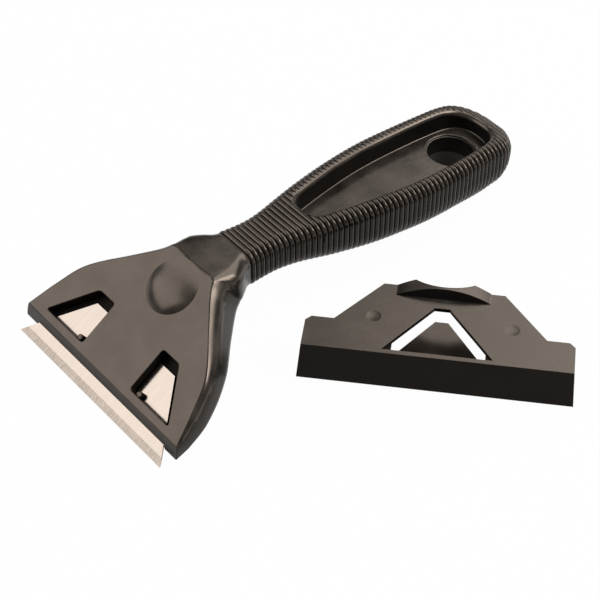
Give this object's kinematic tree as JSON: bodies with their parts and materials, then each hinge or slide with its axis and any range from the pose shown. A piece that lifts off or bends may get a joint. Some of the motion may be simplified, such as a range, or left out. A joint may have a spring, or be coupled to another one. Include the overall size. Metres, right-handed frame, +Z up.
{
  "type": "window scraper",
  "caption": "Window scraper with a ribbed moulded handle, a wide windowed head, a trapezoid blade that slides out of its slot, and a loose blade guard lying beside it.",
  "frame": {"origin": "on the table, under the middle of the set's overall box: the scraper with its guard laid beside it", "axes": "+X from the cutting edge to the end of the handle, +Y to the tool's left, away from the guard, +Z up from the table"},
  "size_m": [0.1444, 0.1142, 0.0259],
  "materials": {
    "body_plastic": "black moulded plastic with a satin sheen",
    "blade_steel": "ground carbon steel, bright along the edge",
    "guard_plastic": "black moulded plastic, satin"
  },
  "bodies": {
    "scraper": {"scraper_body": "body_plastic"},
    "blade": {"scraper_blade": "blade_steel"},
    "guard": {"blade_guard": "guard_plastic"}
  },
  "joints": [
    {"name": "blade_slide", "type": "slide", "parent": "scraper", "child": "blade", "axis": [-0.8434, 0, -0.5373], "range_m": [0, 0.016]},
    {"name": "guard_lift", "type": "slide", "parent": "scraper", "child": "guard", "axis": [0, 0, 1], "range_m": [0, 0.05]}
  ]
}
